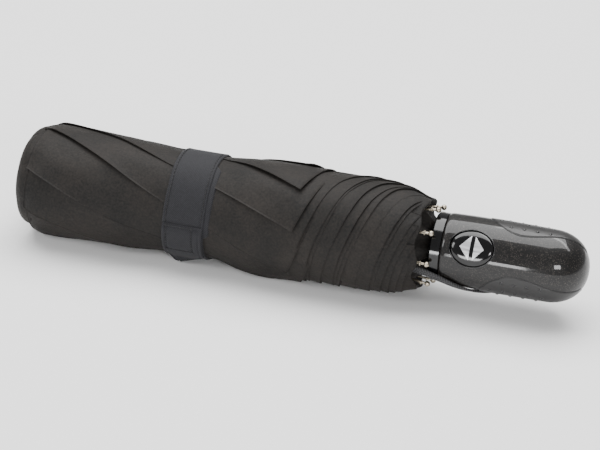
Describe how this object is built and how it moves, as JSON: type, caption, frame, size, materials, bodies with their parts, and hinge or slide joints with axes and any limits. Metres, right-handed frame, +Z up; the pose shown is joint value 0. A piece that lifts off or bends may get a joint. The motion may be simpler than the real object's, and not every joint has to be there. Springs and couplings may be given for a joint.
{
  "type": "folding umbrella",
  "caption": "Compact automatic folding umbrella, closed and wound under a tie strap, with a telescopic shaft, folding ribs, a barrel handle, push button and wrist strap.",
  "frame": {"origin": "centre of the bounding box at the bottom, on the surface it lies on", "axes": "+X along the shaft from the crown to the handle, +Z up, +Y away from the button's side"},
  "size_m": [0.306, 0.0589, 0.0574],
  "materials": {
    "handle_lacquer": "gloss black with fine metal flake",
    "grip_rubber": "satin soft-touch rubber",
    "collar_plastic": "gloss",
    "inner_plastic": "moulded",
    "spring_steel": "bright",
    "shaft_tube": "satin",
    "strap_webbing": "flat woven herringbone",
    "button_plastic": "gloss",
    "arrow_metal": "silvered",
    "crown_plastic": "moulded",
    "cap_metal": "satin grey",
    "cover_fabric": "fine woven polyester",
    "tie_fabric": "twill tape",
    "rib_steel": "nickel plated"
  },
  "bodies": {
    "root": {"handle_shell": "handle_lacquer", "grip_pads": "grip_rubber", "handle_collar": "collar_plastic", "button_housing": "inner_plastic", "button_spring": "spring_steel", "outer_tube": "shaft_tube", "outer_tube_bush": "inner_plastic", "strap_anchor": "collar_plastic", "wrist_strap": "strap_webbing"},
    "push_button": {"push_button": "button_plastic", "button_arrows": "arrow_metal"},
    "middle_tube": {"middle_tube": "shaft_tube", "middle_tube_bush": "inner_plastic"},
    "inner_shaft": {"inner_tube": "shaft_tube", "crown": "crown_plastic", "top_cap": "cap_metal", "canopy_cover": "cover_fabric", "tie_strap": "tie_fabric"},
    "tie_strap_tab": {"tie_strap_tab": "tie_fabric"},
    "runner": {"runner": "crown_plastic"},
    "inner_rib_1": {"inner_rib_1": "rib_steel"},
    "middle_rib_1": {"middle_rib_1": "rib_steel"},
    "outer_rib_1": {"outer_rib_1": "rib_steel"},
    "stretcher_1": {"stretcher_1": "rib_steel"},
    "inner_rib_2": {"inner_rib_2": "rib_steel"},
    "middle_rib_2": {"middle_rib_2": "rib_steel"},
    "outer_rib_2": {"outer_rib_2": "rib_steel"},
    "stretcher_2": {"stretcher_2": "rib_steel"},
    "inner_rib_3": {"inner_rib_3": "rib_steel"},
    "middle_rib_3": {"middle_rib_3": "rib_steel"},
    "outer_rib_3": {"outer_rib_3": "rib_steel"},
    "stretcher_3": {"stretcher_3": "rib_steel"},
    "inner_rib_4": {"inner_rib_4": "rib_steel"},
    "middle_rib_4": {"middle_rib_4": "rib_steel"},
    "outer_rib_4": {"outer_rib_4": "rib_steel"},
    "stretcher_4": {"stretcher_4": "rib_steel"},
    "inner_rib_5": {"inner_rib_5": "rib_steel"},
    "middle_rib_5": {"middle_rib_5": "rib_steel"},
    "outer_rib_5": {"outer_rib_5": "rib_steel"},
    "stretcher_5": {"stretcher_5": "rib_steel"},
    "inner_rib_6": {"inner_rib_6": "rib_steel"},
    "middle_rib_6": {"middle_rib_6": "rib_steel"},
    "outer_rib_6": {"outer_rib_6": "rib_steel"},
    "stretcher_6": {"stretcher_6": "rib_steel"},
    "inner_rib_7": {"inner_rib_7": "rib_steel"},
    "middle_rib_7": {"middle_rib_7": "rib_steel"},
    "outer_rib_7": {"outer_rib_7": "rib_steel"},
    "stretcher_7": {"stretcher_7": "rib_steel"},
    "inner_rib_8": {"inner_rib_8": "rib_steel"},
    "middle_rib_8": {"middle_rib_8": "rib_steel"},
    "outer_rib_8": {"outer_rib_8": "rib_steel"},
    "stretcher_8": {"stretcher_8": "rib_steel"}
  },
  "joints": [
    {"name": "middle_slide", "type": "slide", "parent": "root", "child": "middle_tube", "axis": [-1, 0, 0], "range_m": [0, 0.14]},
    {"name": "inner_slide", "type": "slide", "parent": "middle_tube", "child": "inner_shaft", "axis": [-1, 0, 0], "range_m": [0, 0.136]},
    {"name": "runner_slide", "type": "slide", "parent": "inner_shaft", "child": "runner", "axis": [-1, 0, 0], "range_m": [0, 0.145], "deforming": ["canopy_cover", "tie_strap", "tie_strap_tab"]},
    {"name": "button_press", "type": "slide", "parent": "root", "child": "push_button", "axis": [0, 0.8387, -0.5446], "range_m": [0, 0.0025], "stiffness_N_per_m": 600, "springref_m": -0.001, "deforming": ["button_spring"]},
    {"name": "strap_tab_peel", "type": "hinge", "parent": "inner_shaft", "child": "tie_strap_tab", "pos_m": [-0.0538, -0.0284, 0.028], "axis": [-1, 0, 0], "range_deg": [0, 70]},
    {"name": "inner_rib_1_hinge", "type": "hinge", "parent": "inner_shaft", "child": "inner_rib_1", "pos_m": [-0.141, -0.00608, 0.03464], "axis": [0, -0.7373, -0.6756], "range_deg": [0, 80.1]},
    {"name": "middle_rib_1_hinge", "type": "hinge", "parent": "inner_rib_1", "child": "middle_rib_1", "pos_m": [0.035, -0.00689, 0.03552], "axis": [0, -0.7373, -0.6756], "range_deg": [-192.1, 0]},
    {"name": "outer_rib_1_hinge", "type": "hinge", "parent": "middle_rib_1", "child": "outer_rib_1", "pos_m": [-0.115, -0.00851, 0.03729], "axis": [0, -0.7373, -0.6756], "range_deg": [0, 167.1]},
    {"name": "stretcher_1_hinge", "type": "hinge", "parent": "runner", "child": "stretcher_1", "pos_m": [0.045, -0.00608, 0.03464], "axis": [0, -0.7373, -0.6756], "range_deg": [-74.6, 0]},
    {"name": "inner_rib_2_hinge", "type": "hinge", "parent": "inner_shaft", "child": "inner_rib_2", "pos_m": [-0.141, -0.00899, 0.02839], "axis": [0, -0.0436, -0.999], "range_deg": [0, 80.1]},
    {"name": "middle_rib_2_hinge", "type": "hinge", "parent": "inner_rib_2", "child": "middle_rib_2", "pos_m": [0.035, -0.01019, 0.02844], "axis": [0, -0.0436, -0.999], "range_deg": [-192.1, 0]},
    {"name": "outer_rib_2_hinge", "type": "hinge", "parent": "middle_rib_2", "child": "outer_rib_2", "pos_m": [-0.115, -0.01259, 0.02855], "axis": [0, -0.0436, -0.999], "range_deg": [0, 167.1]},
    {"name": "stretcher_2_hinge", "type": "hinge", "parent": "runner", "child": "stretcher_2", "pos_m": [0.045, -0.00899, 0.02839], "axis": [0, -0.0436, -0.999], "range_deg": [-74.6, 0]},
    {"name": "inner_rib_3_hinge", "type": "hinge", "parent": "inner_shaft", "child": "inner_rib_3", "pos_m": [-0.141, -0.00664, 0.02192], "axis": [0, 0.6756, -0.7373], "range_deg": [0, 80.1]},
    {"name": "middle_rib_3_hinge", "type": "hinge", "parent": "inner_rib_3", "child": "middle_rib_3", "pos_m": [0.035, -0.00752, 0.02111], "axis": [0, 0.6756, -0.7373], "range_deg": [-192.1, 0]},
    {"name": "outer_rib_3_hinge", "type": "hinge", "parent": "middle_rib_3", "child": "outer_rib_3", "pos_m": [-0.115, -0.00929, 0.01949], "axis": [0, 0.6756, -0.7373], "range_deg": [0, 167.1]},
    {"name": "stretcher_3_hinge", "type": "hinge", "parent": "runner", "child": "stretcher_3", "pos_m": [0.045, -0.00664, 0.02192], "axis": [0, 0.6756, -0.7373], "range_deg": [-74.6, 0]},
    {"name": "inner_rib_4_hinge", "type": "hinge", "parent": "inner_shaft", "child": "inner_rib_4", "pos_m": [-0.141, -0.00039, 0.01901], "axis": [0, 0.999, -0.0436], "range_deg": [0, 80.1]},
    {"name": "middle_rib_4_hinge", "type": "hinge", "parent": "inner_rib_4", "child": "middle_rib_4", "pos_m": [0.035, -0.00044, 0.01781], "axis": [0, 0.999, -0.0436], "range_deg": [-192.1, 0]},
    {"name": "outer_rib_4_hinge", "type": "hinge", "parent": "middle_rib_4", "child": "outer_rib_4", "pos_m": [-0.115, -0.00055, 0.01541], "axis": [0, 0.999, -0.0436], "range_deg": [0, 167.1]},
    {"name": "stretcher_4_hinge", "type": "hinge", "parent": "runner", "child": "stretcher_4", "pos_m": [0.045, -0.00039, 0.01901], "axis": [0, 0.999, -0.0436], "range_deg": [-74.6, 0]},
    {"name": "inner_rib_5_hinge", "type": "hinge", "parent": "inner_shaft", "child": "inner_rib_5", "pos_m": [-0.141, 0.00608, 0.02136], "axis": [0, 0.7373, 0.6756], "range_deg": [0, 80.1]},
    {"name": "middle_rib_5_hinge", "type": "hinge", "parent": "inner_rib_5", "child": "middle_rib_5", "pos_m": [0.035, 0.00689, 0.02048], "axis": [0, 0.7373, 0.6756], "range_deg": [-192.1, 0]},
    {"name": "outer_rib_5_hinge", "type": "hinge", "parent": "middle_rib_5", "child": "outer_rib_5", "pos_m": [-0.115, 0.00851, 0.01871], "axis": [0, 0.7373, 0.6756], "range_deg": [0, 167.1]},
    {"name": "stretcher_5_hinge", "type": "hinge", "parent": "runner", "child": "stretcher_5", "pos_m": [0.045, 0.00608, 0.02136], "axis": [0, 0.7373, 0.6756], "range_deg": [-74.6, 0]},
    {"name": "inner_rib_6_hinge", "type": "hinge", "parent": "inner_shaft", "child": "inner_rib_6", "pos_m": [-0.141, 0.00899, 0.02761], "axis": [0, 0.0436, 0.999], "range_deg": [0, 80.1]},
    {"name": "middle_rib_6_hinge", "type": "hinge", "parent": "inner_rib_6", "child": "middle_rib_6", "pos_m": [0.035, 0.01019, 0.02756], "axis": [0, 0.0436, 0.999], "range_deg": [-192.1, 0]},
    {"name": "outer_rib_6_hinge", "type": "hinge", "parent": "middle_rib_6", "child": "outer_rib_6", "pos_m": [-0.115, 0.01259, 0.02745], "axis": [0, 0.0436, 0.999], "range_deg": [0, 167.1]},
    {"name": "stretcher_6_hinge", "type": "hinge", "parent": "runner", "child": "stretcher_6", "pos_m": [0.045, 0.00899, 0.02761], "axis": [0, 0.0436, 0.999], "range_deg": [-74.6, 0]},
    {"name": "inner_rib_7_hinge", "type": "hinge", "parent": "inner_shaft", "child": "inner_rib_7", "pos_m": [-0.141, 0.00664, 0.03408], "axis": [0, -0.6756, 0.7373], "range_deg": [0, 80.1]},
    {"name": "middle_rib_7_hinge", "type": "hinge", "parent": "inner_rib_7", "child": "middle_rib_7", "pos_m": [0.035, 0.00752, 0.03489], "axis": [0, -0.6756, 0.7373], "range_deg": [-192.1, 0]},
    {"name": "outer_rib_7_hinge", "type": "hinge", "parent": "middle_rib_7", "child": "outer_rib_7", "pos_m": [-0.115, 0.00929, 0.03651], "axis": [0, -0.6756, 0.7373], "range_deg": [0, 167.1]},
    {"name": "stretcher_7_hinge", "type": "hinge", "parent": "runner", "child": "stretcher_7", "pos_m": [0.045, 0.00664, 0.03408], "axis": [0, -0.6756, 0.7373], "range_deg": [-74.6, 0]},
    {"name": "inner_rib_8_hinge", "type": "hinge", "parent": "inner_shaft", "child": "inner_rib_8", "pos_m": [-0.141, 0.00039, 0.03699], "axis": [0, -0.999, 0.0436], "range_deg": [0, 80.1]},
    {"name": "middle_rib_8_hinge", "type": "hinge", "parent": "inner_rib_8", "child": "middle_rib_8", "pos_m": [0.035, 0.00044, 0.03819], "axis": [0, -0.999, 0.0436], "range_deg": [-192.1, 0]},
    {"name": "outer_rib_8_hinge", "type": "hinge", "parent": "middle_rib_8", "child": "outer_rib_8", "pos_m": [-0.115, 0.00055, 0.04059], "axis": [0, -0.999, 0.0436], "range_deg": [0, 167.1]},
    {"name": "stretcher_8_hinge", "type": "hinge", "parent": "runner", "child": "stretcher_8", "pos_m": [0.045, 0.00039, 0.03699], "axis": [0, -0.999, 0.0436], "range_deg": [-74.6, 0]}
  ],
  "couplings": [
    {"joint": "inner_rib_1_hinge", "follows": "runner_slide", "rad_per_m": 9.6294},
    {"joint": "middle_rib_1_hinge", "follows": "runner_slide", "rad_per_m": -23.111},
    {"joint": "outer_rib_1_hinge", "follows": "runner_slide", "rad_per_m": 20.101},
    {"joint": "stretcher_1_hinge", "follows": "runner_slide", "rad_per_m": -8.9674},
    {"joint": "inner_rib_2_hinge", "follows": "runner_slide", "rad_per_m": 9.6294},
    {"joint": "middle_rib_2_hinge", "follows": "runner_slide", "rad_per_m": -23.111},
    {"joint": "outer_rib_2_hinge", "follows": "runner_slide", "rad_per_m": 20.101},
    {"joint": "stretcher_2_hinge", "follows": "runner_slide", "rad_per_m": -8.9674},
    {"joint": "inner_rib_3_hinge", "follows": "runner_slide", "rad_per_m": 9.6294},
    {"joint": "middle_rib_3_hinge", "follows": "runner_slide", "rad_per_m": -23.111},
    {"joint": "outer_rib_3_hinge", "follows": "runner_slide", "rad_per_m": 20.101},
    {"joint": "stretcher_3_hinge", "follows": "runner_slide", "rad_per_m": -8.9674},
    {"joint": "inner_rib_4_hinge", "follows": "runner_slide", "rad_per_m": 9.6294},
    {"joint": "middle_rib_4_hinge", "follows": "runner_slide", "rad_per_m": -23.111},
    {"joint": "outer_rib_4_hinge", "follows": "runner_slide", "rad_per_m": 20.101},
    {"joint": "stretcher_4_hinge", "follows": "runner_slide", "rad_per_m": -8.9674},
    {"joint": "inner_rib_5_hinge", "follows": "runner_slide", "rad_per_m": 9.6294},
    {"joint": "middle_rib_5_hinge", "follows": "runner_slide", "rad_per_m": -23.111},
    {"joint": "outer_rib_5_hinge", "follows": "runner_slide", "rad_per_m": 20.101},
    {"joint": "stretcher_5_hinge", "follows": "runner_slide", "rad_per_m": -8.9674},
    {"joint": "inner_rib_6_hinge", "follows": "runner_slide", "rad_per_m": 9.6294},
    {"joint": "middle_rib_6_hinge", "follows": "runner_slide", "rad_per_m": -23.111},
    {"joint": "outer_rib_6_hinge", "follows": "runner_slide", "rad_per_m": 20.101},
    {"joint": "stretcher_6_hinge", "follows": "runner_slide", "rad_per_m": -8.9674},
    {"joint": "inner_rib_7_hinge", "follows": "runner_slide", "rad_per_m": 9.6294},
    {"joint": "middle_rib_7_hinge", "follows": "runner_slide", "rad_per_m": -23.111},
    {"joint": "outer_rib_7_hinge", "follows": "runner_slide", "rad_per_m": 20.101},
    {"joint": "stretcher_7_hinge", "follows": "runner_slide", "rad_per_m": -8.9674},
    {"joint": "inner_rib_8_hinge", "follows": "runner_slide", "rad_per_m": 9.6294},
    {"joint": "middle_rib_8_hinge", "follows": "runner_slide", "rad_per_m": -23.111},
    {"joint": "outer_rib_8_hinge", "follows": "runner_slide", "rad_per_m": 20.101},
    {"joint": "stretcher_8_hinge", "follows": "runner_slide", "rad_per_m": -8.9674}
  ]
}
